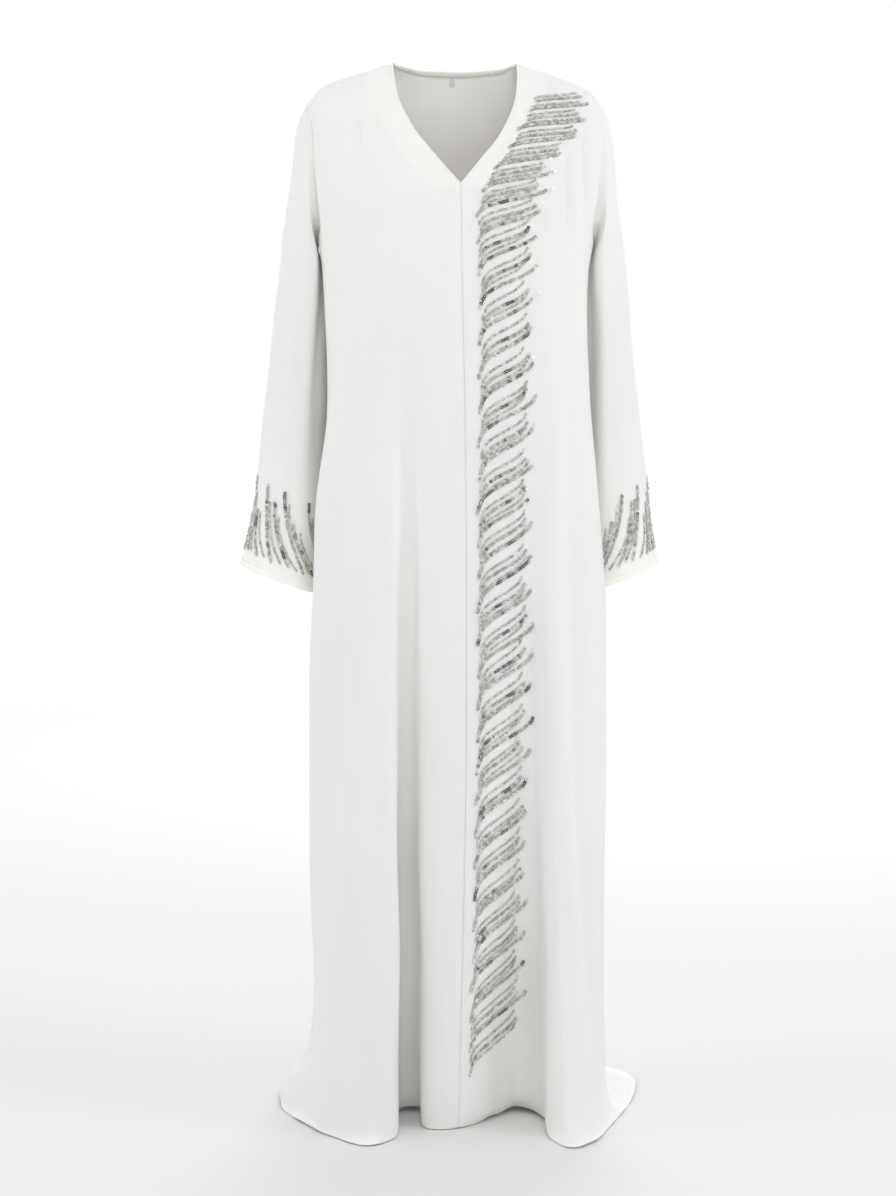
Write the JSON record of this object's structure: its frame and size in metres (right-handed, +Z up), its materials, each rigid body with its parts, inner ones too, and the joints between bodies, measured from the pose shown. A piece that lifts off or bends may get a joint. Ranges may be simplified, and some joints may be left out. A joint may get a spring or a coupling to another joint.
{
  "type": "abaya",
  "caption": "Full-length closed abaya in white crepe with a V neck, long set-in sleeves and silver sequin strokes down one front and round the cuffs, in its hollow worn shape.",
  "frame": {"origin": "midway between the two neck points of the shoulder seams, where the wearer's shoulders carry the garment", "axes": "+Z up along the wearer, +X to the wearer's left (the picture's right), the front facing -Y"},
  "size_m": [0.5518, 0.4204, 1.3589],
  "materials": {
    "crepe": "matte white crepe with a soft fall",
    "binding_tape": "matte white cotton tape",
    "label_satin": "bare white woven satin"
  },
  "bodies": {
    "root": {"front_right": "crepe", "front_left": "crepe", "back": "crepe", "sleeve_right": "crepe", "sleeve_left": "crepe", "neck_binding": "binding_tape", "size_label": "label_satin"}
  },
  "joints": []
}
